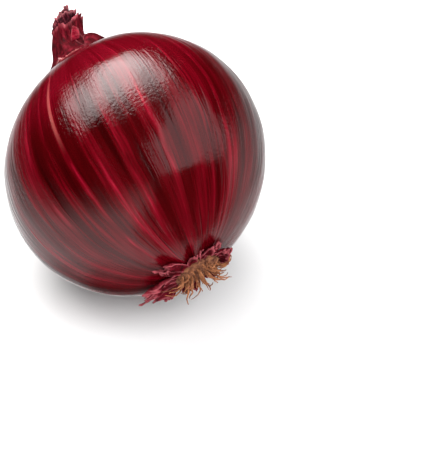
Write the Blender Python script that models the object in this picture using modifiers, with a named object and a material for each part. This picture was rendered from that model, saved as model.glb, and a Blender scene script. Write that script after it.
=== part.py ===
"""A whole red onion lying on its side.

One bulb carries the dry neck that stands out of its crown and the dry root end at its foot. The onion is
modelled about its own axis, +Z from root to neck with the origin in the middle of the bulb, and its parent
empty then lays it down on the small flat spot that it rests on. World +Z is up and the origin is the middle
of that flat spot.
"""

import math

import bmesh
import bpy
from mathutils import Matrix, Vector, noise

# Bulb, in metres
BULB_DIAMETER = 0.082
CROWN_REACH = 0.0386  # middle of the bulb to the crown, where the neck begins
FOOT_REACH = 0.0390  # middle of the bulb to the foot, where the roots begin
SHOULDER_SKEW = 0.022  # share of the radius by which one shoulder stands proud and the other falls short
SHOULDER_AZIMUTH = math.radians(63)
GIRTH_LOBES = 3
GIRTH_LOBE_SHARE = 0.004
COLLAR_RISE = 0.0009  # the skin lifts where it meets the neck
COLLAR_WIDTH = 0.0018

# Lie of the onion
NECK_RISE = math.radians(30)  # the neck points up by this much from level
REST_DEPTH = 0.0009  # height cut off by the flat spot

# Dry neck
NECK_BASE_RADIUS = 0.0096
NECK_STEM_RADIUS = 0.0046
NECK_FLARE_HEIGHT = 0.0042  # over which the base narrows towards the stem
NECK_SOCKET_DEPTH = 0.0016  # below the crown
NECK_BEND = math.radians(28)
NECK_BEND_START = 0.004
NECK_BEND_END = 0.009
NECK_BEND_AZIMUTH = math.radians(73)
CORE_HEIGHT = 0.0152
CORE_TOP_RADIUS = 0.0030
CORE_RIBS = 7
SHEATH_THICKNESS = 0.0006
SHEATH_RIBS = 11
SHEATH_RIB_SHARE = 0.03
SHEATHS = {  # from and to azimuth in degrees, and the height of the torn rim above the crown
    "neck_sheath_front": (-138, 18, 0.0086),
    "neck_sheath_side": (24, 116, 0.0130),
    "neck_sheath_back": (122, 216, 0.0112),
}
FLAP_THICKNESS = 0.0005
FLAP_AZIMUTH = math.radians(60)
FLAP_HALF_ANGLE = math.radians(32)
FLAP_TIP_RADIUS = 0.0080
FLAP_TIP_HEIGHT = 0.0042
CURL_AZIMUTH = math.radians(-2)
CURL_HALF_ANGLE = math.radians(13)
CURL_LOW = 0.0036
CURL_HIGH = 0.0070
CURL_BOW = 0.0009

# Root end
ROOT_PLATE_DIAMETER = 0.015
ROOT_PLATE_THICKNESS = 0.0030
ROOT_PLATE_PROUD = 0.0012  # beyond the bulb's foot
ROOTLET_DIAMETER = 0.0008
ROOTLET_COUNT = 16
ROOTLET_SHORTEST = 0.0042
ROOTLET_LONGEST = 0.0066
ROOTLET_SPREAD = 0.8  # share of the plate's radius that the roots grow from
ROOTLET_LEAN = 1.1  # radians by which the tip of the outermost root leans out
SHRED_THICKNESS = 0.0005
SHRED_COUNT = 7
SHRED_HALF_ANGLE = 0.30
SHRED_LIFT = 0.0012  # how far the torn end curls off the skin
SHRED_MEAN_LENGTH = 0.0062
SHRED_LENGTH_SWING = 0.0026
SHRED_LONGEST_AZIMUTH = math.radians(-98)

# Fits
GAP = 0.0003  # between pieces that touch

BULB_SEGMENTS = 56
BULB_RINGS = 36
GOLDEN_ANGLE = math.pi * (3 - math.sqrt(5))


def clear_scene():
    """Removes every object, so that the script can be run again."""
    for thing in list(bpy.data.objects):
        bpy.data.objects.remove(thing)


def make_collection(name):
    """A fresh collection in the scene."""
    old = bpy.data.collections.get(name)
    if old:
        bpy.data.collections.remove(old)
    collection = bpy.data.collections.new(name)
    bpy.context.scene.collection.children.link(collection)
    return collection


def make_material(name, colour, roughness):
    """A plain Principled material."""
    material = bpy.data.materials.get(name) or bpy.data.materials.new(name)
    material.use_nodes = True
    shader = material.node_tree.nodes["Principled BSDF"]
    shader.inputs["Base Color"].default_value = (*colour, 1)
    shader.inputs["Roughness"].default_value = roughness
    shader.inputs["Metallic"].default_value = 0
    material.diffuse_color = (*colour, 1)
    return material


def smooth_step(low, high, value):
    """0 up to low, 1 from high, with an even slope between."""
    share = min(1.0, max(0.0, (value - low) / (high - low)))
    return share * share * (3 - 2 * share)


def around(radius, azimuth, height):
    """A point from its distance from the axis, its azimuth and its height."""
    return Vector((radius * math.cos(azimuth), radius * math.sin(azimuth), height))


# ---------------------------------------------------------------- bulb form


def bulb_radius(polar, azimuth):
    """Distance of the skin from the bulb's middle; polar is measured from the neck."""
    half_girth = BULB_DIAMETER / 2
    reach = CROWN_REACH if math.cos(polar) > 0 else FOOT_REACH
    radius = 1 / math.hypot(math.sin(polar) / half_girth, math.cos(polar) / reach)
    radius *= 1 + SHOULDER_SKEW * math.sin(2 * polar) * math.cos(azimuth - SHOULDER_AZIMUTH)
    radius *= 1 + GIRTH_LOBE_SHARE * math.sin(polar) ** 2 * math.cos(GIRTH_LOBES * azimuth)
    if math.cos(polar) > 0:
        from_collar = max(0.0, radius * math.sin(polar) - NECK_BASE_RADIUS)
        radius += COLLAR_RISE * math.exp(-from_collar / COLLAR_WIDTH)
    return radius


def bulb_point(polar, azimuth, lift=0.0):
    """A point lift above the skin."""
    reach = bulb_radius(polar, azimuth) + lift
    return around(reach * math.sin(polar), azimuth, reach * math.cos(polar))


def polar_at(distance, azimuth, foot):
    """The polar angle at which the skin is a given distance from the axis, near the foot or the crown."""
    first_guess = 0.2
    tries = 12
    polar = math.pi - first_guess if foot else first_guess
    for _ in range(tries):
        sine = distance / bulb_radius(polar, azimuth)
        polar = math.pi - math.asin(sine) if foot else math.asin(sine)
    return polar


# ---------------------------------------------------------------- neck form


def neck_line(height):
    """Middle of the neck at a height above the crown, with the bend towards NECK_BEND_AZIMUTH."""
    steps = 24
    sideways = 0.0
    for step in range(steps):
        level = height * (step + 0.5) / steps
        lean = NECK_BEND * smooth_step(NECK_BEND_START, NECK_BEND_END, level)
        sideways += math.tan(lean) * height / steps
    return around(sideways, NECK_BEND_AZIMUTH, CROWN_REACH + height)


def neck_radius(height):
    """Outer radius of the sheaths at a height above the crown."""
    flare = math.exp(-max(0.0, height) / NECK_FLARE_HEIGHT)
    return NECK_STEM_RADIUS + (NECK_BASE_RADIUS - NECK_STEM_RADIUS) * flare


def neck_point(radius, azimuth, height):
    """A point at a radius round the neck's own middle line."""
    middle = neck_line(height)
    return middle + around(radius, azimuth, 0.0)


# ---------------------------------------------------------------- builders


def add_object(name, data, material, collection, parent):
    """Links an object made in the onion's own frame."""
    thing = bpy.data.objects.new(name, data)
    data.materials.append(material)
    collection.objects.link(thing)
    thing.parent = parent
    return thing


def reshaped_sphere(name, segments, rings, place):
    """A UV sphere whose points are moved to place(polar, azimuth)."""
    mesh = bpy.data.meshes.new(name)
    shell = bmesh.new()
    bmesh.ops.create_uvsphere(shell, u_segments=segments, v_segments=rings, radius=1)
    for vertex in shell.verts:
        polar = math.acos(max(-1.0, min(1.0, vertex.co.z)))
        azimuth = math.atan2(vertex.co.y, vertex.co.x)
        vertex.co = place(polar, azimuth)
    bmesh.ops.recalc_face_normals(shell, faces=shell.faces)
    shell.to_mesh(mesh)
    shell.free()
    mesh.shade_smooth()
    return mesh


def curled_sheet(name, across, along, place):
    """A grid whose points are moved to place(u, v), with u across it and v along it, both 0 to 1."""
    mesh = bpy.data.meshes.new(name)
    sheet = bmesh.new()
    bmesh.ops.create_grid(sheet, x_segments=across, y_segments=along, size=0.5)
    for vertex in sheet.verts:
        vertex.co = place(vertex.co.x + 0.5, vertex.co.y + 0.5)
    sheet.to_mesh(mesh)
    sheet.free()
    mesh.shade_smooth()
    return mesh


def thicken(thing, thickness):
    """Gives an open sheet its thickness, all on its inner side."""
    solidify = thing.modifiers.new("thickness", "SOLIDIFY")
    solidify.thickness = thickness
    solidify.offset = -1


def cut(thing, cutter):
    """Cuts one object with another."""
    boolean = thing.modifiers.new("cut by " + cutter.name, "BOOLEAN")
    boolean.operation = "DIFFERENCE"
    boolean.object = cutter


def make_cutter(name, mesh, collection, parent):
    """An object that only cuts."""
    cutter = bpy.data.objects.new(name, mesh)
    collection.objects.link(cutter)
    cutter.parent = parent
    cutter.hide_render = True
    cutter.display_type = "WIRE"
    return cutter


def disc_mesh(name, radius, low, high, segments):
    """A closed cylinder about the onion's axis between two heights."""
    mesh = bpy.data.meshes.new(name)
    disc = bmesh.new()
    bmesh.ops.create_cone(
        disc,
        cap_ends=True,
        segments=segments,
        radius1=radius,
        radius2=radius,
        depth=high - low,
        matrix=Matrix.Translation((0, 0, (low + high) / 2)),
    )
    disc.to_mesh(mesh)
    disc.free()
    return mesh


# ---------------------------------------------------------------- pieces


def lay_down(axis):
    """Tilts the onion so that its neck rises towards -X, and puts its flat spot at the origin."""
    tilt = Matrix.Rotation(NECK_RISE - math.pi / 2, 4, "Y")
    degrees = 180
    points = [
        tilt @ bulb_point(math.pi * (down + 0.5) / degrees, math.pi * (1 + turn / degrees))
        for down in range(degrees)
        for turn in (-20, -10, 0, 10, 20)  # degrees either side of the underside
    ]
    lowest = min(points, key=lambda point: point.z)
    shift = Vector((-lowest.x, -lowest.y, -lowest.z - REST_DEPTH))
    axis.matrix_world = Matrix.Translation(shift) @ tilt


def make_bulb(materials, parts, cutters, axis):
    """The bulb with its glossy skin: a socket for the neck, a seat for the root plate and the flat spot."""
    mesh = reshaped_sphere("bulb", BULB_SEGMENTS, BULB_RINGS, bulb_point)
    bulb = add_object("bulb", mesh, materials["skin"], parts, axis)

    socket_floor = CROWN_REACH - NECK_SOCKET_DEPTH
    socket_top = CROWN_REACH + 4 * COLLAR_RISE
    socket = disc_mesh("neck_socket", NECK_BASE_RADIUS + GAP, socket_floor, socket_top, 48)
    cut(bulb, make_cutter("neck_socket", socket, cutters, axis))

    seat_depth = ROOT_PLATE_THICKNESS - ROOT_PLATE_PROUD + GAP
    seat_low = -FOOT_REACH - ROOT_PLATE_PROUD
    seat = disc_mesh("root_seat", ROOT_PLATE_DIAMETER / 2 + GAP, seat_low, -FOOT_REACH + seat_depth, 40)
    cut(bulb, make_cutter("root_seat", seat, cutters, axis))

    ground = bpy.data.meshes.new("ground")
    block = bmesh.new()
    bmesh.ops.create_cube(block, size=BULB_DIAMETER)
    block.to_mesh(ground)
    block.free()
    flat = make_cutter("ground", ground, cutters, None)
    flat.location = (0, 0, -BULB_DIAMETER / 2)
    cut(bulb, flat)


def make_neck_core(materials, parts, axis):
    """The dried stem inside the sheaths, wide where it leaves the bulb and ragged at its top."""
    low = GAP - NECK_SOCKET_DEPTH
    rib_share = 0.03
    ragged_height = 0.0016
    ragged_share = 0.35  # of the core's length, from its top
    ragged_seed = 1.7
    taper = 0.55
    end_width, end_power = 3.2, 0.8  # how fast the two ends round off

    def place(polar, azimuth):
        share = (1 - math.cos(polar)) / 2
        height = CORE_HEIGHT + (low - CORE_HEIGHT) * share
        inside_sheaths = neck_radius(height) * (1 - 2 * SHEATH_RIB_SHARE) - SHEATH_THICKNESS - GAP
        stem = CORE_TOP_RADIUS + taper * (CORE_HEIGHT - height)
        ends = min(1.0, end_width * math.sin(polar) ** end_power)
        ribs = 1 - rib_share * (1 + math.cos(CORE_RIBS * azimuth))
        point = neck_point(min(inside_sheaths, stem) * ends * ribs, azimuth, height)
        ragged = noise.noise(around(3, azimuth, ragged_seed))
        point.z += ragged_height * ragged * smooth_step(ragged_share, 0.0, share)
        return point

    mesh = reshaped_sphere("neck_core", 24, 14, place)
    add_object("neck_core", mesh, materials["dry_neck"], parts, axis)


def sheath_radius(azimuth, height):
    """Outer face of a sheath, ribbed lengthwise and never outside neck_radius."""
    ribs = SHEATH_RIB_SHARE * (1 - math.cos(SHEATH_RIBS * azimuth))
    return neck_radius(height) * (1 - ribs)


def make_sheath(name, materials, parts, axis):
    """One dry leaf base wrapped part of the way round the neck, with a torn rim."""
    start, end, top = SHEATHS[name]
    low = GAP - NECK_SOCKET_DEPTH
    torn_share = 0.10

    def place(across, along):
        azimuth = math.radians(start + (end - start) * across)
        torn = noise.noise(Vector((4 * across, 0.01 * start, 0.5)))
        height = low + (top * (1 + torn_share * torn) - low) * along
        return neck_point(sheath_radius(azimuth, height), azimuth, height)

    mesh = curled_sheet(name, 12, 9, place)
    sheath = add_object(name, mesh, materials["dry_neck"], parts, axis)
    thicken(sheath, SHEATH_THICKNESS)


def make_neck_flap(materials, parts, axis):
    """A loose tongue of skin that stands on the shoulder at the foot of the neck and leans towards it."""
    foot_radius = NECK_BASE_RADIUS + GAP + FLAP_THICKNESS
    narrowing = 0.45

    def place(across, along):
        azimuth = FLAP_AZIMUTH + FLAP_HALF_ANGLE * (2 * across - 1) * (1 - narrowing * along)
        polar = polar_at(foot_radius, azimuth, foot=False)
        foot = bulb_point(polar, azimuth, GAP + FLAP_THICKNESS)
        tip = neck_point(FLAP_TIP_RADIUS, azimuth, FLAP_TIP_HEIGHT)
        return foot.lerp(tip, along)

    mesh = curled_sheet("neck_flap", 8, 5, place)
    flap = add_object("neck_flap", mesh, materials["dry_neck"], parts, axis)
    thicken(flap, FLAP_THICKNESS)


def make_neck_curl(materials, parts, axis):
    """A small torn strip that curls away from the front sheath."""
    foot_gap = FLAP_THICKNESS + GAP

    def place(across, along):
        azimuth = CURL_AZIMUTH + CURL_HALF_ANGLE * (2 * across - 1)
        height = CURL_LOW + (CURL_HIGH - CURL_LOW) * along
        bow = CURL_BOW * math.sin(math.pi * along)
        return neck_point(neck_radius(height) + foot_gap + bow, azimuth, height)

    mesh = curled_sheet("neck_curl", 4, 6, place)
    curl = add_object("neck_curl", mesh, materials["dry_neck"], parts, axis)
    thicken(curl, FLAP_THICKNESS)


def make_root_plate(materials, parts, axis):
    """The corky disc that the roots grow from, seated in the bulb's foot."""
    radius = ROOT_PLATE_DIAMETER / 2
    middle = -FOOT_REACH - ROOT_PLATE_PROUD + ROOT_PLATE_THICKNESS / 2
    rim_power, face_power = 0.45, 0.7  # 1 would be an ellipsoid; less is a fuller disc

    def place(polar, azimuth):
        width = radius * math.sin(polar) ** rim_power
        rise = math.copysign(abs(math.cos(polar)) ** face_power, math.cos(polar)) * ROOT_PLATE_THICKNESS / 2
        return around(width, azimuth, middle + rise)

    mesh = reshaped_sphere("root_plate", 28, 10, place)
    add_object("root_plate", mesh, materials["root"], parts, axis)


def make_shred(index, materials, parts, axis):
    """A torn end of dry skin that lies over the bulb's foot, outside the root plate."""
    name = f"root_shred_{index + 1:02d}"
    middle = SHRED_LONGEST_AZIMUTH + 2 * math.pi * index / SHRED_COUNT
    start = ROOT_PLATE_DIAMETER / 2 + 3 * GAP
    length = SHRED_MEAN_LENGTH + SHRED_LENGTH_SWING * math.cos(middle - SHRED_LONGEST_AZIMUTH)
    narrowing = 0.55

    def place(across, along):
        azimuth = middle + SHRED_HALF_ANGLE * (2 * across - 1) * (1 - narrowing * along)
        polar = polar_at(start + length * along, azimuth, foot=True)
        return bulb_point(polar, azimuth, GAP + SHRED_THICKNESS + SHRED_LIFT * along**2)

    mesh = curled_sheet(name, 5, 5, place)
    shred = add_object(name, mesh, materials["dry_neck"], parts, axis)
    thicken(shred, SHRED_THICKNESS)


def make_rootlet(index, materials, parts, axis):
    """A dry root that leaves the plate's face and curls outwards, more so the nearer it is to the rim."""
    name = f"rootlet_{index + 1:02d}"
    share = (index + 0.5) / ROOTLET_COUNT
    start_radius = ROOTLET_SPREAD * ROOT_PLATE_DIAMETER / 2 * math.sqrt(share)
    start_height = -FOOT_REACH - ROOT_PLATE_PROUD - GAP
    azimuth = index * GOLDEN_ANGLE
    mix = 0.5 + 0.5 * math.sin(5.1 * index)  # uneven from one root to the next
    length = ROOTLET_SHORTEST + (ROOTLET_LONGEST - ROOTLET_SHORTEST) * mix
    steps = 6
    tip_share = 0.5  # of the root's own diameter

    curve = bpy.data.curves.new(name, "CURVE")
    curve.dimensions = "3D"
    curve.bevel_depth = ROOTLET_DIAMETER / 2
    curve.bevel_resolution = 1
    curve.use_fill_caps = True
    spline = curve.splines.new("POLY")
    spline.points.add(steps)
    for step, point in enumerate(spline.points):
        along = step / steps
        lean = ROOTLET_LEAN * share * along
        reach = start_radius + length * along * math.sin(lean)
        drop = length * along * math.cos(lean)
        swing = azimuth + 0.10 * share * math.sin(3 * along + index)
        point.co = (*around(reach, swing, start_height - drop), 1)
        point.radius = 1 - (1 - tip_share) * along
    add_object(name, curve, materials["rootlet"], parts, axis)


def main():
    """Builds the onion."""
    clear_scene()
    parts = make_collection("onion")
    cutters = make_collection("onion_cutters")
    materials = {
        "skin": make_material("onion_skin", (0.16, 0.004, 0.018), 0.18),
        "dry_neck": make_material("dry_neck", (0.11, 0.012, 0.022), 0.6),
        "root": make_material("root_cork", (0.24, 0.12, 0.06), 0.85),
        "rootlet": make_material("rootlet", (0.42, 0.25, 0.12), 0.7),
    }
    axis = bpy.data.objects.new("onion_axis", None)
    parts.objects.link(axis)
    lay_down(axis)

    make_bulb(materials, parts, cutters, axis)
    make_neck_core(materials, parts, axis)
    for name in SHEATHS:
        make_sheath(name, materials, parts, axis)
    make_neck_flap(materials, parts, axis)
    make_neck_curl(materials, parts, axis)
    make_root_plate(materials, parts, axis)
    for index in range(SHRED_COUNT):
        make_shred(index, materials, parts, axis)
    for index in range(ROOTLET_COUNT):
        make_rootlet(index, materials, parts, axis)
    bpy.context.view_layer.update()


main()
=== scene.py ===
"""Looks of the red onion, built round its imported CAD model.

Every piece is modelled in the onion's own frame: +Z runs from the root to the neck, the origin is
the middle of the bulb, and azimuths turn about that axis. One matrix then lays the pieces where the
CAD has the onion.
"""

import functools
import math

import bmesh
import bpy
import numpy as np
from mathutils import Matrix, Vector


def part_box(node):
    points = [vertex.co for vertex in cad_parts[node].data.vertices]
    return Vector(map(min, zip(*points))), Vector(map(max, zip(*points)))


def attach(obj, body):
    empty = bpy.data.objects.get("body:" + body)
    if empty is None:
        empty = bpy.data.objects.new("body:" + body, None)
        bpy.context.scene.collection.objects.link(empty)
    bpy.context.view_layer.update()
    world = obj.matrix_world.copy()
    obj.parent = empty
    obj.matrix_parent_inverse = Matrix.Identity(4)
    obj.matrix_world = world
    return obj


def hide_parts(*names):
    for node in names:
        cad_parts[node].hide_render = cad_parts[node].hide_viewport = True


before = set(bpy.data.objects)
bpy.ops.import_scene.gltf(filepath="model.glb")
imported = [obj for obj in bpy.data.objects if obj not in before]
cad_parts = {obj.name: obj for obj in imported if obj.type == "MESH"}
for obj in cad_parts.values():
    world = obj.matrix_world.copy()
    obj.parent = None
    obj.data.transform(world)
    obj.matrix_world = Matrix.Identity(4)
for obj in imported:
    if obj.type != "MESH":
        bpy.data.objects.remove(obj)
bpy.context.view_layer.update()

# Form of the bulb, as the CAD has it, in metres
BULB_LOW, BULB_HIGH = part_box("bulb")
HALF_GIRTH = (BULB_HIGH.y - BULB_LOW.y) / 2
CROWN_REACH = 0.0386
FOOT_REACH = 0.0390
SHOULDER_SKEW = 0.022
SHOULDER_AZIMUTH = math.radians(63)
GIRTH_LOBES = 3
GIRTH_LOBE_SHARE = 0.004
NECK_RISE = math.radians(30)

# Skin of the bulb; its rings run from the middle of the neck's socket to the middle of the root's seat
SKIN_SEGMENTS = 512
SKIN_RINGS = 180
SOCKET_FLOOR_RINGS = 4
SOCKET_RINGS = 8
SEAT_RINGS = 7
CROWDING = 0.035
CROWDING_WIDTH = 0.05
LIP_RADIUS = 0.0098
LIP_RISE = 0.0008
LIP_WIDTH = 0.0011
LIP_THICKNESS = 0.00028
TEAR_AZIMUTH = math.radians(-52)
TEAR_HALF_WIDTH = math.radians(11)
TEAR_RISE = 0.0014
SOCKET_DEPTH = 0.0014
SEAT_RADIUS = 0.0078
SEAT_DEPTH = 0.0017
UNDULATION = 0.00020
RIB_HEIGHT = 0.00005
FLAT_BLEND = 0.00025

# Neck
NECK_BASE_RADIUS = 0.0096
NECK_STEM_RADIUS = 0.0046
NECK_FLARE_HEIGHT = 0.0042
NECK_BEND = math.radians(28)
NECK_BEND_START = 0.004
NECK_BEND_END = 0.009
NECK_BEND_AZIMUTH = math.radians(73)
NECK_LEVELS = np.linspace(-0.004, 0.024, 281)
NECK_FULL_HEIGHT = 0.012
SHEATH_FOOT = -0.0013
CORE_LEAVES = 7
CORE_LEAN_AZIMUTH = math.radians(-107)
NECK_FIBRE_COUNT = 34
NECK_FIBRE_LEAN = 0.0014
NECK_FIBRE_RADIUS = 0.00011
TONGUE_AZIMUTH = math.radians(52)
TONGUE_HALF_ANGLE = math.radians(58)
CURL_AZIMUTH = math.radians(-2)
CURL_HALF_ANGLE = math.radians(11)

# Root end
PLATE_RADIUS = 0.0075
PLATE_PROUD = 0.0012
PLATE_THICKNESS = 0.0030
SHRED_COUNT = 19
SHRED_START = 0.0072
SHRED_LONGEST_AZIMUTH = math.radians(-100)
ROOT_COUNT = 46
GOLDEN_ANGLE = math.pi * (3 - math.sqrt(5))

# Thickness of the leaves and shreds
NECK_LEAF = 0.0004
THIN_LEAF = 0.0003
SHRED_LEAF = 0.00028

# Search for a place on the skin, and waves in the noise
POLAR_GUESS = 0.2
POLAR_ROUNDS = 12
GRAIN_WAVES = 18
GRAIN_SPREAD = 2.4
GRAIN_DIVISOR = 8

# Studio
FLOOR_HALF_SIDE = 0.55
FLOOR_COLOUR = (0.54, 0.54, 0.543, 1)
SOFTBOX_HEIGHT = 0.55
REFLECTOR_DISTANCE = 0.6
REFLECTOR_TILT = math.radians(22)
FILL_DISTANCE = 1.1
WARM = (1, 0.985, 0.97)
COOL = (0.98, 0.98, 1)
WHITE = (1, 1, 1)
DIMMEST = 0.006

# Camera
VIEW_AZIMUTH = math.radians(58.25)
VIEW_ELEVATION = math.radians(35)
CAMERA_DISTANCE = 0.82
LENS = 213.4
AIM_RIGHT = 0.0230
AIM_DOWN = 0.01955


# ---------------------------------------------------------------- form


def smooth_step(low, high, value):
    """0 up to low, 1 from high, with an even slope between; arrays or numbers."""
    share = np.clip((value - low) / (high - low), 0, 1)
    return share * share * (3 - 2 * share)


def skin_reach(polar, azimuth):
    """Distance of the plain skin from the bulb's middle; polar is measured from the neck."""
    reach = np.where(np.cos(polar) > 0, CROWN_REACH, FOOT_REACH)
    radius = 1 / np.hypot(np.sin(polar) / HALF_GIRTH, np.cos(polar) / reach)
    radius = radius * (1 + SHOULDER_SKEW * np.sin(2 * polar) * np.cos(azimuth - SHOULDER_AZIMUTH))
    return radius * (1 + GIRTH_LOBE_SHARE * np.sin(polar) ** 2 * np.cos(GIRTH_LOBES * azimuth))


def polar_at(distance, azimuth, foot=False):
    """The polar angle at which the skin is a given distance from the axis."""
    polar = np.full_like(azimuth, math.pi - POLAR_GUESS if foot else POLAR_GUESS)
    for _ in range(POLAR_ROUNDS):
        angle = np.arcsin(distance / skin_reach(polar, azimuth))
        polar = math.pi - angle if foot else angle
    return polar


def around(radius, azimuth, height):
    """Points from their distance to the axis, azimuth and height, as an (n, 3) array."""
    radius, azimuth, height = np.broadcast_arrays(radius, azimuth, height)
    return np.stack([radius * np.cos(azimuth), radius * np.sin(azimuth), height], axis=-1)


def over_skin(distance, azimuth, lift, foot=True):
    """Points lift above the skin at a distance from the axis, near the foot or the crown."""
    azimuth = np.asarray(azimuth, float)
    polar = polar_at(distance, azimuth, foot)
    reach = skin_reach(polar, azimuth) + lift
    return around(reach * np.sin(polar), azimuth, reach * np.cos(polar))


def neck_sideways(height):
    """How far the bent neck has moved off the axis at a height above the crown."""
    slope = np.tan(NECK_BEND * smooth_step(NECK_BEND_START, NECK_BEND_END, NECK_LEVELS))
    moved = np.concatenate([[0], np.cumsum((slope[1:] + slope[:-1]) / 2 * np.diff(NECK_LEVELS))])
    return np.interp(height, NECK_LEVELS, moved)


def neck_point(radius, azimuth, height):
    """Points at a radius round the neck's own middle line."""
    sideways = neck_sideways(height)
    middle = around(sideways, NECK_BEND_AZIMUTH, CROWN_REACH + height)
    return middle + around(radius, azimuth, np.zeros_like(height))


def neck_radius(height):
    """Outer radius of the dry sheaths at a height above the crown."""
    flare = np.exp(-np.maximum(0, height) / NECK_FLARE_HEIGHT)
    return NECK_STEM_RADIUS + (NECK_BASE_RADIUS - NECK_STEM_RADIUS) * flare


def grain(points, scale, seed):
    """Smooth noise, about -1 to 1, at each of the points: waves that run every way."""
    draw = np.random.default_rng(seed)
    waves = draw.normal(size=(3, GRAIN_WAVES)) * scale * GRAIN_SPREAD
    phases = draw.uniform(0, 2 * math.pi, GRAIN_WAVES)
    return np.sin(points @ waves + phases).sum(axis=-1) / GRAIN_DIVISOR


def rough_grain(points, scale, seed, octaves=4, growth=2.1, fading=0.6):
    """Noise with finer and finer detail, about -1 to 1."""
    return sum(grain(points, scale * growth**n, seed + 300 * n) * fading**n for n in range(octaves))


def jitter(points, scale, seed, noise=grain):
    """Noise along each of the three axes, at each of the points."""
    return np.stack([noise(points, scale, seed + axis) for axis in range(3)], 1)


def ring_grain(azimuth, along, around_scale, along_scale, seed):
    """Noise that runs in streaks from neck to root and meets itself round the onion."""
    flat = around(around_scale, azimuth, along * along_scale).reshape(-1, 3)
    return grain(flat, 1.0, seed).reshape(np.shape(azimuth))


def turned_from(azimuth, middle):
    """The angle from middle to each azimuth, the short way round."""
    return np.abs(np.angle(np.exp(1j * (azimuth - middle))))


def onion_matrix():
    """Lays the onion down so that its plain form has the CAD bulb's box."""
    tilt = Matrix.Rotation(NECK_RISE - math.pi / 2, 4, "Y")
    polar, azimuth = np.meshgrid(np.linspace(0, math.pi, 361), np.linspace(0, 2 * math.pi, 361))
    reach = skin_reach(polar, azimuth)
    points = around(reach * np.sin(polar), azimuth, reach * np.cos(polar)).reshape(-1, 3)
    turned = points @ np.array(tilt.to_3x3()).T
    low, high = turned.min(axis=0), turned.max(axis=0)
    middle_y = (BULB_LOW.y + BULB_HIGH.y) / 2 - (low[1] + high[1]) / 2
    middle_x = (BULB_LOW.x + BULB_HIGH.x) / 2 - (low[0] + high[0]) / 2
    return Matrix.Translation((middle_x, middle_y, BULB_HIGH.z - high[2])) @ tilt


ONION = onion_matrix()


# ---------------------------------------------------------------- builders


def finish_piece(piece, slot, *nodes):
    """Puts a piece in the scene, on the CAD's body, in the place of CAD nodes."""
    bpy.context.scene.collection.objects.link(piece)
    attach(piece, "root")
    if nodes:
        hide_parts(*nodes)


def lay_down(points):
    """Takes points from the onion's own frame to the one that it lies in."""
    return np.asarray(points) @ np.array(ONION.to_3x3()).T + np.array(ONION.translation)


def write_points(mesh, points):
    """Moves a mesh's points to an (n, 3) array in the onion's own frame."""
    mesh.vertices.foreach_set("co", lay_down(points).astype(np.float32).ravel())
    mesh.update()


def read_points(mesh):
    """A mesh's points as an (n, 3) array."""
    points = np.zeros(len(mesh.vertices) * 3, np.float32)
    mesh.vertices.foreach_get("co", points)
    return points.reshape(-1, 3).astype(float)


def mark(mesh, name, values):
    """Stores a number on each point, for the materials to read."""
    attribute = mesh.attributes.new(name, "FLOAT", "POINT")
    attribute.data.foreach_set("value", np.asarray(values, np.float32).ravel())


def mark_rim(mesh, u, v, start, side_width, paleness, side_share=1.0):
    """Marks the paler torn rim of a sheet, its colour partly its own and partly a painted highlight: its
    far end, from start on, and its two sides.
    """
    sides = np.exp(-np.minimum(u, 1 - u) / side_width)
    mark(mesh, "rim", np.clip(smooth_step(start, 1.0, v) + side_share * sides, 0, 1) * paleness)


def sphere_mesh(name, segments, rings):
    """A UV sphere, with the share of the way from pole to pole and the azimuth of each point."""
    mesh = bpy.data.meshes.new(name)
    shell = bmesh.new()
    bmesh.ops.create_uvsphere(shell, u_segments=segments, v_segments=rings, radius=1)
    shell.to_mesh(mesh)
    shell.free()
    points = read_points(mesh)
    share = np.arccos(np.clip(points[:, 2], -1, 1)) / math.pi
    azimuth = np.arctan2(points[:, 1], points[:, 0])
    mesh.shade_smooth()
    return mesh, share, azimuth


def sheet_mesh(name, across, along):
    """A flat grid, with u across it and v along it, both 0 to 1."""
    mesh = bpy.data.meshes.new(name)
    sheet = bmesh.new()
    bmesh.ops.create_grid(sheet, x_segments=across, y_segments=along, size=0.5)
    sheet.to_mesh(mesh)
    sheet.free()
    points = read_points(mesh)
    mesh.shade_smooth()
    return mesh, points[:, 0] + 0.5, points[:, 1] + 0.5


def add_sheet(name, mesh, material, thickness, slot, *nodes):
    """A sheet with its thickness on the inner side."""
    mesh.materials.append(material)
    piece = bpy.data.objects.new(name, mesh)
    finish_piece(piece, slot, *nodes)
    solidify = piece.modifiers.new("thickness", "SOLIDIFY")
    solidify.thickness = thickness
    solidify.offset = -1


def add_fibre(name, points, radius, tip, material, slot, *nodes):
    """A thin root or fibre along points, tapering to a share of its radius at its tip."""
    curve = bpy.data.curves.new(name, "CURVE")
    curve.dimensions = "3D"
    curve.bevel_depth = radius
    curve.bevel_resolution = 2
    curve.use_fill_caps = True
    spline = curve.splines.new("POLY")
    spline.points.add(len(points) - 1)
    for step, place in enumerate(lay_down(points)):
        along = step / (len(points) - 1)
        spline.points[step].co = (*place, 1)
        spline.points[step].radius = 1 - (1 - tip) * along**1.5
    curve.materials.append(material)
    finish_piece(bpy.data.objects.new(name, curve), slot, *nodes)


# ---------------------------------------------------------------- materials


def feed(tree, socket, value):
    """Sets an input, or links it if the value is another node's output."""
    if isinstance(value, bpy.types.NodeSocket):
        tree.links.new(value, socket)
    else:
        socket.default_value = value


def add_node(tree, kind, settings, inputs):
    """A node with its settings and inputs."""
    made = tree.nodes.new(kind)
    for key, value in settings.items():
        setattr(made, key, value)
    for key, value in inputs.items():
        feed(tree, made.inputs[key], value)
    return made


def calc(tree, operation, *values):
    """A Math node's result."""
    made = add_node(tree, "ShaderNodeMath", {"operation": operation}, dict(enumerate(values)))
    return made.outputs[0]


def combine(tree, operation, values):
    """One Math operation over several values, from the first to the last."""
    return functools.reduce(lambda so_far, value: calc(tree, operation, so_far, value), values)


def dot(tree, vector, axis):
    """How far a vector reaches along an axis."""
    made = add_node(tree, "ShaderNodeVectorMath", {"operation": "DOT_PRODUCT"}, {0: vector, 1: axis})
    return made.outputs["Value"]


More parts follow.
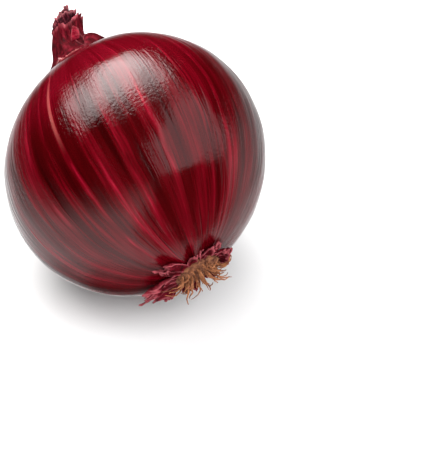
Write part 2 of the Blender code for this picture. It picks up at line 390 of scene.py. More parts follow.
def ramp_up(tree, value, low, high, to_low=0.0, to_high=1.0):
    """A smooth slope of value from low to high."""
    settings = {"interpolation_type": "SMOOTHSTEP"}
    inputs = {"Value": value, "From Min": low, "From Max": high, "To Min": to_low, "To Max": to_high}
    return add_node(tree, "ShaderNodeMapRange", settings, inputs).outputs["Result"]


def faded(tree, value, along, low, high, to_low=0.0, to_high=1.0):
    """value times a smooth slope of along from low to high."""
    return calc(tree, "MULTIPLY", value, ramp_up(tree, along, low, high, to_low, to_high))


def pattern(tree, vector, scale, detail=2.0, roughness=0.5):
    """Noise at a vector, 0 to 1."""
    inputs = {"Vector": vector, "Scale": scale, "Detail": detail, "Roughness": roughness}
    return add_node(tree, "ShaderNodeTexNoise", {}, inputs).outputs[0]


def colours(tree, value, stops):
    """A colour ramp with linear RGB stops."""
    made = add_node(tree, "ShaderNodeValToRGB", {}, {"Fac": value})
    ramp = made.color_ramp
    while len(ramp.elements) < len(stops):
        ramp.elements.new(0.5)
    for element, (place, colour) in zip(ramp.elements, stops):
        element.position = place
        element.color = (*colour, 1)
    return made.outputs["Color"]


def blend_colours(tree, share, first, second):
    """first where share is 0, second where it is 1."""
    inputs = {0: share, 6: first, 7: second}
    return add_node(tree, "ShaderNodeMix", {"data_type": "RGBA"}, inputs).outputs[2]


def attribute(tree, name):
    """A number that was marked on the mesh."""
    return add_node(tree, "ShaderNodeAttribute", {"attribute_name": name}, {}).outputs["Fac"]


def new_material(name, roughness=0.5, specular=0.5):
    """A material, its tree and its Principled shader."""
    material = bpy.data.materials.new(name)
    material.use_nodes = True
    tree = material.node_tree
    shader = tree.nodes["Principled BSDF"]
    shader.inputs["Roughness"].default_value = roughness
    shader.inputs["Specular IOR Level"].default_value = specular
    return material, tree, shader


def add_bump(tree, shader, height, strength, distance, below=None):
    """A bump on the shader, over another bump if below is given."""
    inputs = {"Height": height, "Strength": strength, "Distance": distance}
    if below is not None:
        inputs["Normal"] = below
    bump = add_node(tree, "ShaderNodeBump", {}, inputs).outputs["Normal"]
    feed(tree, shader.inputs["Normal"], bump)
    return bump


def object_vector(tree):
    """The onion's own coordinates, in metres: +Z runs from its root to its neck."""
    lying = add_node(tree, "ShaderNodeTexCoord", {}, {}).outputs["Object"]
    place, turn, _ = ONION.inverted().decompose()
    inputs = {"Vector": lying, "Location": place, "Rotation": turn.to_euler()}
    return add_node(tree, "ShaderNodeMapping", {}, inputs).outputs[0]


# Bright streaks: azimuth in degrees, half width in degrees, strength, and the shares of the way
# from neck to root between which each is strong
BRIGHT_STREAKS = (
    (-91, 1.5, 0.40, 0.50, 0.86),
    (-79, 1.0, 0.45, 0.30, 0.60),
    (-69, 1.6, 0.70, 0.34, 0.66),
    (-58, 1.1, 0.45, 0.32, 0.60),
    (-51, 1.3, 1.00, 0.24, 0.80),
    (-39.5, 1.4, 0.90, 0.58, 0.86),
    (-27.5, 1.2, 0.75, 0.46, 0.72),
    (-19, 1.0, 0.30, 0.34, 0.56),
    (-10, 1.6, 0.80, 0.44, 0.68),
    (0, 1.2, 0.40, 0.46, 0.60),
    (11, 1.2, 0.55, 0.50, 0.66),
    (22, 1.5, 0.60, 0.30, 0.68),
    (41, 1.6, 0.60, 0.34, 0.72),
    (74, 1.4, 0.60, 0.20, 0.70),
    (108, 1.7, 0.70, 0.30, 0.82),
    (139, 1.3, 0.60, 0.20, 0.66),
    (171, 1.6, 0.70, 0.34, 0.80),
    (204, 1.4, 0.65, 0.24, 0.72),
    (233, 1.3, 0.55, 0.30, 0.78),
)
# Dark streaks: azimuth and half width in degrees, and strength
DARK_STREAKS = (
    (-84, 4.0, 0.6),
    (-63, 3.0, 0.8),
    (-55, 3.0, 0.9),
    (-46, 4.0, 1.0),
    (-33, 4.2, 1.0),
    (-20, 5.0, 1.0),
    (-4, 3.4, 0.7),
    (9, 4.4, 0.6),
    (32, 4.0, 0.6),
    (58, 5.0, 0.7),
    (92, 4.0, 0.7),
    (124, 5.0, 0.8),
    (156, 4.0, 0.7),
    (188, 5.0, 0.8),
    (219, 4.0, 0.7),
    (250, 4.4, 0.7),
)
# Colours of the skin from its darkest tone to its brightest, of its ends, and of a crease whose pale line
# is partly a painted highlight
SKIN_COLOURS = (
    (0.10, (0.014, 0.0001, 0.0003)),
    (0.34, (0.032, 0.0002, 0.0008)),
    (0.50, (0.066, 0.0004, 0.0026)),
    (0.68, (0.140, 0.0022, 0.0095)),
    (0.95, (0.330, 0.0320, 0.0390)),
)
LIP_COLOUR = (0.36, 0.105, 0.105, 1)
CREASE_HIGHLIGHT_COLOUR = (0.36, 0.10, 0.085, 1)
ROOT_END_COLOUR = (0.10, 0.020, 0.014, 1)
MIDDLE_TONE = 0.395
DARK_STREAK_TONE = 0.15
BRIGHT_STREAK_TONE = 0.24


def streak_mask(tree, flat, azimuth, half_width):
    """1 along a meridian, 0 beyond half_width of it."""
    closeness = dot(tree, flat, (math.cos(azimuth), math.sin(azimuth), 0))
    return ramp_up(tree, closeness, math.cos(half_width), math.cos(half_width * 0.25))


def skin_material():
    """Glossy burgundy skin, streaked from neck to root in dark maroon and bright red."""
    material, tree, shader = new_material("onion_skin", 0.14, 0.40)
    position = object_vector(tree)
    axes = add_node(tree, "ShaderNodeSeparateXYZ", {}, {0: position}).outputs
    length = add_node(tree, "ShaderNodeVectorMath", {"operation": "LENGTH"}, {0: position})
    rise = calc(tree, "DIVIDE", axes[2], length.outputs["Value"])
    share = calc(tree, "DIVIDE", calc(tree, "ARCCOSINE", rise), math.pi)

    wander = calc(tree, "SUBTRACT", pattern(tree, position, 34.0, 2.0), 0.5)
    twist = calc(tree, "MULTIPLY", rise, -0.07)
    turn = calc(tree, "ARCTAN2", axes[1], axes[0])
    turn = calc(tree, "ADD", calc(tree, "ADD", turn, twist), calc(tree, "MULTIPLY", wander, 0.07))
    cosine, sine = calc(tree, "COSINE", turn), calc(tree, "SINE", turn)
    flat = add_node(tree, "ShaderNodeCombineXYZ", {}, {0: cosine, 1: sine}).outputs[0]

    def streaks(around_scale, along_scale, detail, roughness=0.5, shift=0.0):
        parts = {
            0: calc(tree, "MULTIPLY", cosine, around_scale),
            1: calc(tree, "MULTIPLY", sine, around_scale),
            2: calc(tree, "ADD", calc(tree, "MULTIPLY", share, along_scale), shift),
        }
        vector = add_node(tree, "ShaderNodeCombineXYZ", {}, parts).outputs[0]
        return pattern(tree, vector, 1.0, detail, roughness)

    broad = streaks(2.4, 1.8, 2.0)
    bands = streaks(8.0, 2.2, 2.0, 0.6, 4.0)
    lines = streaks(26.0, 4.0, 2.0, 0.6, 9.0)
    veins = streaks(80.0, 6.0, 1.0, 0.5, 13.0)

    # Tone: streaks from broad to fine, calmer and lighter towards both ends
    layers = ((broad, 0.50), (bands, 0.62), (lines, 0.62), (veins, 0.20))
    tone = combine(tree, "ADD", [
        calc(tree, "MULTIPLY", calc(tree, "SUBTRACT", layer, 0.5), weight) for layer, weight in layers
    ])
    tone = faded(tree, tone, share, 0.34, 0.52, 0.35, 1.0)
    tone = faded(tree, tone, share, 0.84, 0.66, 0.6, 1.0)
    near_neck = ramp_up(tree, share, 0.46, 0.30, 0.0, 0.12)
    near_root = ramp_up(tree, share, 0.54, 0.72, 0.0, 0.05)
    tone = calc(tree, "ADD", calc(tree, "ADD", tone, MIDDLE_TONE), calc(tree, "ADD", near_neck, near_root))

    bright = []
    for azimuth, half_width, strength, start, end in BRIGHT_STREAKS:
        mask = streak_mask(tree, flat, math.radians(azimuth), math.radians(half_width))
        fade = calc(tree, "MULTIPLY", ramp_up(tree, share, start - 0.12, start + 0.06), strength)
        fade = faded(tree, fade, share, end + 0.10, end - 0.08)
        bright.append(calc(tree, "MULTIPLY", mask, fade))
    dark = []
    for azimuth, half_width, strength in DARK_STREAKS:
        mask = streak_mask(tree, flat, math.radians(azimuth), math.radians(half_width))
        dark.append(calc(tree, "MULTIPLY", mask, strength))
    dark = faded(tree, combine(tree, "MAXIMUM", dark), share, 0.31, 0.46)
    dark = faded(tree, dark, share, 0.80, 0.62, 0.4, 1.0)

    tone = calc(tree, "SUBTRACT", tone, calc(tree, "MULTIPLY", dark, DARK_STREAK_TONE))
    broken = ramp_up(tree, streaks(14.0, 9.0, 2.0, 0.6, 17.0), 0.40, 0.64, 0.12, 1.0)
    bright = calc(tree, "MULTIPLY", combine(tree, "MAXIMUM", bright), broken)
    tone = calc(tree, "ADD", tone, calc(tree, "MULTIPLY", bright, BRIGHT_STREAK_TONE))
    threads = ramp_up(tree, streaks(30.0, 3.0, 2.0, 0.6, 21.0), 0.60, 0.76)
    tone = calc(tree, "ADD", tone, faded(tree, threads, share, 0.15, 0.42, 0.03, 0.16))
    base = colours(tree, tone, SKIN_COLOURS)

    # Colour of the lip, of a crease below it whose pale line is partly its own colour and partly a painted
    # highlight, and of the root end
    lip = attribute(tree, "lip")
    base = blend_colours(tree, calc(tree, "MULTIPLY", lip, 0.85), base, LIP_COLOUR)
    crease_highlight = streak_mask(tree, flat, math.radians(-51), math.radians(1.1))
    crease_highlight = faded(tree, faded(tree, crease_highlight, share, 0.24, 0.32), share, 0.50, 0.38)
    base = blend_colours(tree, calc(tree, "MULTIPLY", crease_highlight, 0.36), base, CREASE_HIGHLIGHT_COLOUR)
    root = ramp_up(tree, share, 0.925, 0.955)
    base = blend_colours(tree, calc(tree, "MULTIPLY", root, 0.75), base, ROOT_END_COLOUR)
    feed(tree, shader.inputs["Base Color"], base)

    # Gloss: duller in leathery patches and at the root
    mottle = pattern(tree, position, 1100.0, 3.0, 0.6)
    patches = calc(tree, "MULTIPLY", ramp_up(tree, pattern(tree, position, 55.0, 2.0), 0.46, 0.64), 0.6)
    leathery = streak_mask(tree, flat, math.radians(-10), math.radians(25))
    leathery = faded(tree, faded(tree, leathery, share, 0.41, 0.47), share, 0.54, 0.49)
    patches = calc(tree, "MAXIMUM", patches, leathery)
    rough = calc(tree, "ADD", 0.08, calc(tree, "MULTIPLY", bands, 0.06))
    rough = calc(tree, "ADD", rough, calc(tree, "MULTIPLY", calc(tree, "MULTIPLY", mottle, patches), 0.06))
    rough = calc(tree, "ADD", rough, calc(tree, "MULTIPLY", root, 0.3))
    feed(tree, shader.inputs["Roughness"], rough)

    ridges = faded(tree, lines, share, 0.28, 0.44, 0.45, 1.0)
    bump = add_bump(tree, shader, ridges, 0.5, 0.00028)
    bump = add_bump(tree, shader, veins, 0.45, 0.00010, bump)
    pores = calc(tree, "MULTIPLY", mottle, calc(tree, "ADD", 0.15, patches))
    add_bump(tree, shader, pores, 0.7, 0.00028, bump)
    return material


def dry_material(name, dark, middle, light, rim, roughness, fibre_scale=900.0):
    """Dry leaf: fibres along the neck, blotches, and a paler torn rim whose colour is partly its own and
    partly a painted highlight.
    """
    material, tree, shader = new_material(name, roughness, 0.04)
    position = object_vector(tree)
    stretch = {"Vector": position, "Scale": (1, 1, 0.12)}
    stretched = add_node(tree, "ShaderNodeMapping", {}, stretch).outputs[0]
    fibres = pattern(tree, stretched, fibre_scale, 3.0, 0.6)
    blotch = pattern(tree, position, 330.0, 3.0, 0.6)
    tone = calc(tree, "ADD", calc(tree, "MULTIPLY", fibres, 0.55), calc(tree, "MULTIPLY", blotch, 0.45))
    base = colours(tree, tone, ((0.36, dark), (0.52, middle), (0.68, light)))
    # Rim colour: the torn edge's own paleness with a painted highlight on it
    edge = faded(tree, attribute(tree, "rim"), blotch, 0.30, 0.55, 0.35, 1.0)
    base = blend_colours(tree, edge, base, (*rim, 1))
    feed(tree, shader.inputs["Base Color"], base)
    rough = ramp_up(tree, fibres, 0.3, 0.7, roughness - 0.1, roughness + 0.15)
    feed(tree, shader.inputs["Roughness"], rough)
    bump = add_bump(tree, shader, fibres, 0.6, 0.00025)
    add_bump(tree, shader, pattern(tree, position, 2200.0, 2.0), 0.35, 0.00010, bump)
    return material


def root_material(name, dark, light, scale):
    """Dry root fibre or cork: brown blotches and a rough face."""
    material, tree, shader = new_material(name, 0.75, 0.15)
    position = object_vector(tree)
    blotch = pattern(tree, position, scale, 4.0, 0.65)
    feed(tree, shader.inputs["Base Color"], colours(tree, blotch, ((0.34, dark), (0.66, light))))
    feed(tree, shader.inputs["Roughness"], ramp_up(tree, blotch, 0.3, 0.7, 0.62, 0.9))
    add_bump(tree, shader, pattern(tree, position, scale * 3, 3.0), 0.7, 0.0003)
    return material


# ---------------------------------------------------------------- bulb


def lip_rise(azimuth):
    """How far the torn edge of the skin stands up round the neck."""
    ragged = ring_grain(azimuth, np.zeros_like(azimuth), 5.0, 0.0, 3)
    fine = ring_grain(azimuth, np.zeros_like(azimuth), 19.0, 0.0, 4)
    tear = np.maximum(0, 1 - turned_from(azimuth, TEAR_AZIMUTH) / TEAR_HALF_WIDTH) ** 1.3
    return LIP_RISE * (1 + 0.7 * ragged + 0.35 * fine) + TEAR_RISE * tear


def rest_flat(points):
    """Presses the points that would lie under the ground up to it, with a soft edge."""
    rotation = np.array(ONION.to_3x3())
    height = points @ rotation[2] + ONION.translation.z
    pressed = FLAT_BLEND * np.logaddexp(0, height / FLAT_BLEND)
    return points + np.outer(pressed - height, rotation[2])


def make_bulb(material):
    """The bulb, with the torn lip of its skin round the neck and the seat of the root plate."""
    mesh, share, azimuth = sphere_mesh("bulb_skin", SKIN_SEGMENTS, SKIN_RINGS)
    floor_end, lip_top = SOCKET_FLOOR_RINGS / SKIN_RINGS, SOCKET_RINGS / SKIN_RINGS
    seat_start = 1 - SEAT_RINGS / SKIN_RINGS
    rise = lip_rise(azimuth)

    # The skin between lip and seat, with its rings crowded towards the lip
    outer = np.clip((share - lip_top) / (seat_start - lip_top), 0, 1)
    crowded = np.exp(-outer / CROWDING_WIDTH) - 1 + outer * (1 - math.exp(-1 / CROWDING_WIDTH))
    outer = outer + CROWDING * crowded
    first, last = polar_at(LIP_RADIUS, azimuth), polar_at(SEAT_RADIUS, azimuth, foot=True)
    polar = first + (last - first) * outer
    reach = skin_reach(polar, azimuth)
    sphere = around(np.sin(polar), azimuth, np.cos(polar))
    reach = reach + UNDULATION * grain(sphere, 2.3, 1) + 0.5 * UNDULATION * grain(sphere, 5.1, 2)
    fade = np.sin(polar) ** 0.5
    ribs = ring_grain(azimuth, polar, 9.0, 0.8, 5) + 0.7 * ring_grain(azimuth, polar, 21.0, 1.2, 6)
    reach = reach + RIB_HEIGHT * fade * ribs
    from_lip = np.maximum(0, reach * np.sin(polar) - LIP_RADIUS)
    reach = reach + np.where(outer < 0.5, rise * np.exp(-from_lip / LIP_WIDTH), 0)
    skin = around(reach * np.sin(polar), azimuth, reach * np.cos(polar))

    # The wall and floor of the neck's socket
    top = skin_reach(first, azimuth) * np.cos(first) + rise
    floor = CROWN_REACH - SOCKET_DEPTH
    climb = np.clip((share - floor_end) / (lip_top - floor_end), 0, 1)
    inner_radius = LIP_RADIUS - LIP_THICKNESS
    wall = around(inner_radius, azimuth, floor + (top - floor) * climb)
    bottom = around(inner_radius * np.clip(share / floor_end, 0, 1), azimuth, floor)

    # The seat of the root plate
    sink = np.clip((share - seat_start) / (1 - seat_start), 0, 1)
    edge = skin_reach(last, azimuth) * np.cos(last)
    inwards = 1 - smooth_step(0.25, 1.0, sink)
    seat = around(SEAT_RADIUS * inwards, azimuth, edge + SEAT_DEPTH * smooth_step(0, 0.4, sink))

    points = np.where((share >= lip_top - 1e-6)[:, None], skin, wall)
    points = np.where((share <= floor_end + 1e-6)[:, None], bottom, points)
    points = np.where((share > seat_start + 1e-6)[:, None], seat, points)
    write_points(mesh, rest_flat(points))
    inside = 1 - smooth_step(lip_top, lip_top + 5.5 / SKIN_RINGS, share)
    mark(mesh, "lip", np.clip(inside * (0.65 + 0.5 * ring_grain(azimuth, share, 9.0, 1.0, 7)), 0, 1))
    mesh.materials.append(material)
    finish_piece(bpy.data.objects.new("onion_bulb", mesh), "skin", "bulb")


# ---------------------------------------------------------------- neck


def torn(u, seed, coarse, fine):
    """A torn edge along u, about -1 to 1: broad bites with small teeth in them."""
    line = np.stack([u * coarse, np.full_like(u, seed), np.zeros_like(u)], axis=-1)
    teeth = np.stack([u * fine, np.full_like(u, seed + 5.5), np.zeros_like(u)], axis=-1)
    return 0.75 * grain(line, 1.0, seed) + 0.45 * grain(teeth, 1.0, seed + 1)


def make_sheath(name, node, material, spec):
    """One dry leaf base round the neck, ribbed lengthwise, with a torn and slightly curled rim."""
    mesh, u, v = sheet_mesh(name, spec["across"], 72)
    start, end = (math.radians(angle) for angle in spec["span"])
    azimuth = start + (end - start) * u
    top = np.interp(np.degrees(azimuth), spec["top_at"], spec["top"])
    top = top * (1 + spec["ragged"] * torn(u, spec["seed"], 6.0, 26.0))
    height = SHEATH_FOOT + (top - SHEATH_FOOT) * v
    upward = np.clip(height / NECK_FULL_HEIGHT, 0, 1)

    folds = ring_grain(azimuth, height * 60, spec["fold_scale"], 1.0, spec["seed"] + 2)
    creases = ring_grain(azimuth, height * 120, 14.0, 1.0, spec["seed"] + 3)
    radius = neck_radius(height) * (1 - (1 - spec["scale"]) * upward)
    radius = radius + 0.00085 * folds * (0.15 + upward) - 0.00034 * np.abs(creases) * (0.5 + upward)
    for middle, half_width, lift in spec["ridges"]:
        turned = turned_from(azimuth, math.radians(middle)) / math.radians(half_width)
        radius = radius + lift * np.maximum(0, 1 - turned) ** 1.4 * (0.3 + upward)
    curled = 0.6 + 0.8 * torn(u, spec["seed"] + 9, 4.0, 15.0)
    radius = radius + spec["curl"] * np.clip(v, 0, 1) ** 7 * curled
    sides = np.minimum(u, 1 - u)
    radius = radius + 0.00035 * np.exp(-sides / 0.03)
    write_points(mesh, neck_point(radius, azimuth, height))
    # Paler torn rim along the top and sides, its colour partly a painted highlight
    pale = np.clip(0.5 + 1.3 * torn(u, spec["seed"] + 14, 5.0, 17.0), 0.05, 1)
    rim = smooth_step(0.88, 0.99, v) * pale + 0.4 * np.exp(-sides / 0.02)
    mark(mesh, "rim", np.clip(rim * spec["rim"], 0, 1))
    add_sheet(name, mesh, material, NECK_LEAF, "dry_neck", node)


# Each sheath spans azimuths in degrees. Its top has heights above the crown at some of them, and its
# ridges have an azimuth, a half width and a lift.
# Each sheath's rim value sets how strongly its paler torn rim, partly a painted highlight, shows.
SHEATHS = {
    "neck_sheath_front": {
        "across": 150, "span": (-150, 30), "scale": 0.91, "seed": 11, "ragged": 0.13,
        "top_at": (-150, -117, -85, -50, -20, 10, 30),
        "top": (0.0122, 0.0124, 0.0116, 0.0112, 0.0106, 0.0090, 0.0076),
        "fold_scale": 3.2, "curl": 0.0005, "rim": 0.9,
        "ridges": ((-84, 13, 0.0009), (-60, 9, 0.0004), (-40, 11, 0.0011), (-8, 12, 0.0006)),
    },
    "neck_sheath_side": {
        "across": 100, "span": (0, 128), "scale": 0.96, "seed": 23, "ragged": 0.06,
        "top_at": (0, 25, 60, 90, 128),
        "top": (0.0112, 0.0126, 0.0124, 0.0118, 0.0108),
        "fold_scale": 3.4, "curl": 0.0004, "rim": 0.6,
        "ridges": ((22, 10, 0.0010), (66, 12, 0.0004), (100, 10, 0.0006)),
    },
    "neck_sheath_back": {
        "across": 110, "span": (112, 226), "scale": 0.96, "seed": 37, "ragged": 0.10,
        "top_at": (112, 150, 190, 226),
        "top": (0.0110, 0.0130, 0.0120, 0.0130),
        "fold_scale": 3.6, "curl": 0.0005, "rim": 0.8,
        "ridges": ((140, 10, 0.0006), (176, 10, 0.0006), (206, 9, 0.0006)),
    },
}


def make_core(material):
    """The dried leaves in the middle of the neck: rolled, crumpled and broken off unevenly."""
    for roll in range(CORE_LEAVES):
        name = f"neck_core_leaf_{roll + 1}"
        mesh, u, v = sheet_mesh(name, 90, 70)
        share = roll / (CORE_LEAVES - 1)
        start = 2.4 * roll + 0.6
        arc = math.radians(310 - 110 * share)
        azimuth = start + arc * (u - 0.5)
        top = 0.0142 + 0.0028 * share + 0.0010 * math.sin(1.9 * roll + 0.9)
        top = top * (1 + 0.11 * torn(u, 50 + roll, 5.0, 24.0))
        height = top * v
        base = neck_radius(height) * 0.86
        stem = 0.0038 - 0.0030 * share
        radius = np.minimum(base * (1 - 0.55 * share), stem + 0.4 * np.maximum(0, 0.008 - height))
        upward = np.clip(height / NECK_FULL_HEIGHT, 0, 1)
        radius = radius + 0.00060 * upward * ring_grain(azimuth, height * 150, 2.6, 1.0, 60 + roll)
        radius = radius + 0.00035 * upward * ring_grain(azimuth, height * 420, 8.0, 1.0, 70 + roll)
        points = neck_point(np.maximum(radius, 0.0002), azimuth, height)
        lean = 0.0012 * smooth_step(0.004, 0.014, height)
        points = points + around(lean, CORE_LEAN_AZIMUTH, np.zeros_like(lean))
        points = points + 0.00030 * jitter(points, 700.0, 80 + roll, rough_grain)
        write_points(mesh, points)
        # Paler top rim of each leaf, its colour partly a painted highlight
        mark(mesh, "rim", 0.8 * smooth_step(0.93, 1.0, v))
        nodes = ("neck_core",) if roll == 0 else ()
        add_sheet(name, mesh, material, NECK_LEAF, "dry_neck", *nodes)


def make_neck_fibres(material):
    """Frayed threads that stand out of the broken top of the neck."""
    draw = np.random.default_rng(5)
    for index in range(NECK_FIBRE_COUNT):
        azimuth = draw.uniform(0, 2 * math.pi)
        radius = draw.uniform(0.0006, 0.0034)
        base = draw.uniform(0.0105, 0.0145)
        length = draw.uniform(0.0012, 0.0030)
        steps = np.linspace(0, 1, 7)
        spread = radius + length * 0.35 * steps**2 * draw.uniform(-0.4, 1.0)
        swing = azimuth + draw.uniform(-0.5, 0.5) * steps
        points = neck_point(spread, swing, base + length * steps)
        points = points + around(NECK_FIBRE_LEAN, CORE_LEAN_AZIMUTH, np.zeros_like(steps))
        points = points + 0.00012 * jitter(points, 1500.0, 90 + index)
        add_fibre(f"neck_fibre_{index + 1:02d}", points, NECK_FIBRE_RADIUS, 0.3, material, "dry_neck")


def make_flap(material):
    """A tongue of skin that stands on the shoulder, right of the neck, and leans against it."""
    mesh, u, v = sheet_mesh("neck_tongue", 110, 44)
    across = 2 * u - 1
    azimuth = TONGUE_AZIMUTH + TONGUE_HALF_ANGLE * across * (1 - 0.18 * v)
    foot = over_skin(0.0118 - 0.0012 * across**2, azimuth, 0.00015, foot=False)
    arch = np.sqrt(np.maximum(0, 1 - across**2)) * (1 + 0.18 * torn(u, 120, 4.0, 18.0))
    tip = neck_point(0.0098 - 0.0024 * arch, azimuth, 0.0006 + 0.0046 * arch)
    points = foot + (tip - foot) * v[:, None]
    bow = (0.0007 * np.sin(math.pi * v) + 0.0004 * ring_grain(azimuth, v, 6.0, 1.5, 121)) * arch
    points = points + around(bow, azimuth, 0.6 * bow)
    write_points(mesh, points)
    mark_rim(mesh, u, v, start=0.86, side_width=0.03, paleness=0.5, side_share=0.7)
    add_sheet("neck_tongue", mesh, material, THIN_LEAF, "dry_neck", "neck_flap")


def make_curl(material):
    """A small torn strip that curls away from the front of the neck."""
    mesh, u, v = sheet_mesh("neck_curl_strip", 30, 40)
    azimuth = CURL_AZIMUTH + CURL_HALF_ANGLE * (2 * u - 1) * (1 - 0.5 * v**2) + 0.25 * v
    height = 0.0040 + 0.0048 * v + 0.0008 * torn(u, 130, 3.0, 9.0) * v
    bow = 0.0010 * np.sin(math.pi * v**0.8) + 0.0004 * (2 * u - 1) ** 2 + 0.0003 * torn(v, 131, 3.0, 9.0)
    radius = neck_radius(height) + 0.0003 + bow
    write_points(mesh, neck_point(radius, azimuth, height))
    mark_rim(mesh, u, v, start=0.85, side_width=0.06, paleness=0.2)
    add_sheet("neck_curl_strip", mesh, material, THIN_LEAF, "dry_neck", "neck_curl")


# ---------------------------------------------------------------- root end


def make_plate(material):
    """The corky disc that the roots grow from."""
    mesh, share, azimuth = sphere_mesh("root_disc", 120, 60)
    polar = share * math.pi
    radius = PLATE_RADIUS * np.sin(polar) ** 0.5
    half = PLATE_THICKNESS / 2
    middle = -FOOT_REACH - PLATE_PROUD + half
    height = middle + half * np.sign(np.cos(polar)) * np.abs(np.cos(polar)) ** 0.6
    points = around(radius, azimuth, height)
    face = smooth_step(0.2, 0.8, -np.cos(polar))
    lumps = rough_grain(points, 420.0, 140)
    points = points + around(0.0003 * lumps, azimuth, -0.0007 * face * lumps)
    write_points(mesh, points)
    mesh.materials.append(material)
    finish_piece(bpy.data.objects.new("root_disc", mesh), "root", "root_plate")


def make_shreds(material):
    """Torn ends of dry skin round the root plate, curling off the bulb."""
    draw = np.random.default_rng(17)
    cad_shreds = sorted(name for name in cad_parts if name.startswith("root_shred"))
    for index in range(SHRED_COUNT):
        name = f"root_skin_{index + 1:02d}"
        mesh, u, v = sheet_mesh(name, 30, 44)
        middle = SHRED_LONGEST_AZIMUTH + 2 * math.pi * index / SHRED_COUNT + draw.uniform(-0.10, 0.10)
        length = 0.0048 + 0.0028 * math.cos(middle - SHRED_LONGEST_AZIMUTH) + draw.uniform(0, 0.0028)
        half_angle = draw.uniform(0.11, 0.27)
        lift, sway = draw.uniform(0.0014, 0.0034), draw.uniform(-0.25, 0.25)
        ragged = 1 + 0.42 * torn(u, 150 + index, 3.0, 12.0)
        azimuth = middle + half_angle * (2 * u - 1) * (1 - 0.45 * v) + sway * v**2
        distance = SHRED_START + length * v * ragged
        curl = 0.0004 * (2 * u - 1) ** 2 + lift * v**2.2 + 0.0002
        flat = np.stack([u * 3, v * 3, np.full_like(u, index)], axis=-1)
        crumple = v * (0.0007 * grain(flat, 1.0, 160 + index) + 0.0004 * grain(flat, 2.6, 180 + index))
        points = over_skin(distance, azimuth, np.maximum(curl + crumple, 0.0002))
        write_points(mesh, points)
        mark_rim(mesh, u, v, start=0.88, side_width=0.04, paleness=0.55)
        nodes = (cad_shreds[index],) if index < len(cad_shreds) else ()
        add_sheet(name, mesh, material, SHRED_LEAF, "dry_neck", *nodes)


def make_roots(material):
    """Dry roots on the plate: short, wiry and curled outwards."""
    draw = np.random.default_rng(29)
    cad_roots = sorted(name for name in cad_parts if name.startswith("rootlet"))
    for index in range(ROOT_COUNT):
        share = (index + 0.5) / ROOT_COUNT
        azimuth = index * GOLDEN_ANGLE + draw.uniform(-0.1, 0.1)
        start = 0.92 * PLATE_RADIUS * math.sqrt(share)
        length = draw.uniform(0.0030, 0.0072)
        splay = 0.25 + 1.15 * share
        steps = np.linspace(0, 1, 12)
        lean = splay * steps + draw.uniform(-0.2, 0.2) * steps
        reach = start + length * steps * np.sin(lean)
        drop = length * steps * np.cos(lean) - 0.0004
        swing = azimuth + draw.uniform(-0.5, 0.5) * steps**1.5 * (0.4 + share)
        points = around(reach, swing, -FOOT_REACH - PLATE_PROUD - drop)
        points = points + 0.0007 * jitter(points, 420.0, 200 + index) * steps[:, None]
        nodes = (cad_roots[index],) if index < len(cad_roots) else ()
        radius = draw.uniform(0.00022, 0.00040)
        add_fibre(f"root_fibre_{index + 1:02d}", points, radius, 0.35, material, "rootlet", *nodes)


# ---------------------------------------------------------------- studio


RIGHT = Vector((math.cos(VIEW_AZIMUTH), math.sin(VIEW_AZIMUTH), 0))
AWAY = Vector((-math.sin(VIEW_AZIMUTH), math.cos(VIEW_AZIMUTH), 0))
UP = Vector((0, 0, 1))


def make_floor():
    """A plain pale floor. The skin's gloss shows the world's table instead of it."""
    material, _, shader = new_material("floor", 0.9, 0.1)
    shader.inputs["Base Color"].default_value = FLOOR_COLOUR
    mesh = bpy.data.meshes.new("floor")
    plane = bmesh.new()
    bmesh.ops.create_grid(plane, x_segments=1, y_segments=1, size=FLOOR_HALF_SIDE)
    plane.to_mesh(mesh)
    plane.free()
    mesh.materials.append(material)
    floor = bpy.data.objects.new("floor", mesh)
    floor.visible_glossy = False
    bpy.context.scene.collection.objects.link(floor)


def make_light(name, centre, long_side, normal, size, power, colour):
    """A soft rectangular light that faces along normal, its length along long_side."""
    data = bpy.data.lights.new(name, "AREA")
    data.shape = "RECTANGLE"
    data.size, data.size_y = size
    data.energy = power
    data.color = colour
    light = bpy.data.objects.new(name, data)
    back = -normal.normalized()
    side = (long_side - back * long_side.dot(back)).normalized()
    turn = Matrix((side, back.cross(side), back)).transposed()
    light.matrix_world = Matrix.Translation(centre) @ turn.to_4x4()
    bpy.context.scene.collection.objects.link(light)
    return light


def make_lights():
    """A wide softbox overhead with a smaller one just below it, a broad dim reflector on the right,
    and two lights that the gloss doesn't show: the wide softbox's spill and a fill from the ceiling."""
    middle = ONION.translation
    height = SOFTBOX_HEIGHT
    overhead = middle + height * (UP - 0.44 * RIGHT + 0.55 * AWAY)
    long_side = 0.87 * RIGHT + 0.48 * AWAY
    size = (1.60 * height, 1.20 * height)
    make_light("wide_softbox", overhead, long_side, -UP, size, power=10.8, colour=WARM)
    spill = make_light("softbox_spill", overhead, long_side, -UP, size, power=1.8, colour=WARM)
    spill.visible_glossy = False
    overhead = middle + height * (0.99 * UP - 0.33 * RIGHT + 0.61 * AWAY)
    long_side = 0.21 * RIGHT + 0.98 * AWAY
    size = (0.90 * height, 0.70 * height)
    make_light("core_softbox", overhead, long_side, -UP, size, power=2.6, colour=WARM)

    distance = REFLECTOR_DISTANCE
    facing = (0.806 * RIGHT + 0.065 * AWAY + 0.587 * UP).normalized()
    side = AWAY * math.cos(REFLECTOR_TILT) - UP * math.sin(REFLECTOR_TILT)
    centre = middle + distance * (facing - 0.66 * AWAY + 0.15 * UP)
    size = (1.75 * distance, 0.98 * distance)
    make_light("side_reflector", centre, side, -facing, size, power=2.8, colour=COOL)

    towards = (0.25 * RIGHT - 1.0 * AWAY + 0.75 * UP).normalized()
    centre = middle + FILL_DISTANCE * towards
    fill = make_light("ceiling_fill", centre, RIGHT, -towards, (2.2, 2.2), power=68, colour=WHITE)
    fill.visible_glossy = False


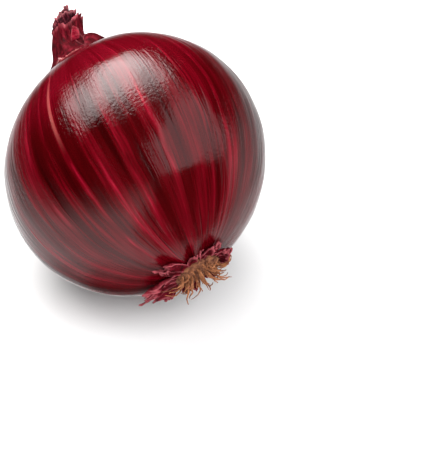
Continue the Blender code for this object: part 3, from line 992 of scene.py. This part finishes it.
def make_world():
    """A white backdrop for the camera. The skin's gloss shows a dim room instead, and a table in it
    that is darker under the onion and towards the right, with a dark patch in front on the right."""
    world = bpy.data.worlds.new("studio")
    bpy.context.scene.world = world
    world.use_nodes = True
    tree = world.node_tree
    direction = add_node(tree, "ShaderNodeTexCoord", {}, {}).outputs["Generated"]

    table = ramp_up(tree, dot(tree, direction, UP - 0.25 * RIGHT + 0.17 * AWAY), 0.13, -0.47)
    beyond = calc(tree, "MULTIPLY", calc(tree, "MAXIMUM", dot(tree, direction, AWAY), 0.0), 0.28)
    contact = ramp_up(tree, calc(tree, "SUBTRACT", dot(tree, direction, UP), beyond), -1.04, -0.80)
    towards_screen = dot(tree, direction, 0.718 * RIGHT - 0.646 * AWAY - 0.259 * UP)
    screen = ramp_up(tree, towards_screen, 0.70, 0.85, 1.0, 0.0)
    right_end = ramp_up(tree, dot(tree, direction, 0.94 * RIGHT + 0.34 * AWAY), 0.2, 0.8, 1.4, 0.65)
    sides = calc(tree, "MULTIPLY", screen, right_end)
    level = calc(tree, "MULTIPLY", calc(tree, "MULTIPLY", table, contact), sides)
    level = calc(tree, "ADD", level, DIMMEST)
    seen = add_node(tree, "ShaderNodeLightPath", {}, {}).outputs["Is Camera Ray"]
    background = tree.nodes["Background"]
    feed(tree, background.inputs["Strength"], calc(tree, "MAXIMUM", level, seen))
    background.inputs["Color"].default_value = (*WHITE, 1)


def make_camera():
    """A long lens that looks down at the onion, aimed right of it and below it."""
    back = -AWAY * math.cos(VIEW_ELEVATION) + UP * math.sin(VIEW_ELEVATION)
    up = UP * math.cos(VIEW_ELEVATION) + AWAY * math.sin(VIEW_ELEVATION)
    middle = ONION.translation
    data = bpy.data.cameras.new("camera")
    data.lens = LENS
    data.clip_start, data.clip_end = 0.01, 100
    camera = bpy.data.objects.new("camera", data)
    bpy.context.scene.collection.objects.link(camera)
    camera.location = middle + back * CAMERA_DISTANCE
    aim = middle + RIGHT * AIM_RIGHT - up * AIM_DOWN
    camera.rotation_mode = "QUATERNION"
    camera.rotation_quaternion = (aim - camera.location).to_track_quat("-Z", "Y")
    bpy.context.scene.camera = camera
    bpy.context.scene.view_settings.view_transform = "Standard"


def main():
    """Makes the onion and its studio."""
    skin = skin_material()
    # Each dry material's rim colour is partly its own paleness and partly a painted highlight.
    sheath = dry_material(
        "dry_sheath",
        dark=(0.013, 0.0003, 0.0008),
        middle=(0.056, 0.0010, 0.0038),
        light=(0.14, 0.0080, 0.017),
        rim=(0.34, 0.080, 0.095),
        roughness=0.62,
    )
    core = dry_material(
        "dry_core",
        dark=(0.002, 0.0002, 0.0005),
        middle=(0.022, 0.0012, 0.0036),
        light=(0.20, 0.040, 0.052),
        rim=(0.26, 0.08, 0.09),
        roughness=0.6,
        fibre_scale=1400.0,
    )
    fresh = dry_material(
        "red_flake",
        dark=(0.05, 0.0008, 0.0030),
        middle=(0.14, 0.0040, 0.013),
        light=(0.26, 0.020, 0.034),
        rim=(0.42, 0.12, 0.13),
        roughness=0.4,
    )
    cork = root_material("root_cork", dark=(0.035, 0.008, 0.005), light=(0.19, 0.075, 0.038), scale=700.0)
    wiry = root_material("root_wire", dark=(0.07, 0.016, 0.008), light=(0.31, 0.125, 0.055), scale=500.0)

    make_bulb(skin)
    for name, spec in SHEATHS.items():
        make_sheath(name.replace("sheath", "leaf"), name, sheath, spec)
    make_core(core)
    make_neck_fibres(core)
    make_flap(sheath)
    make_curl(fresh)
    make_plate(cork)
    make_shreds(sheath)
    make_roots(wiry)

    make_floor()
    make_lights()
    make_world()
    make_camera()


main()
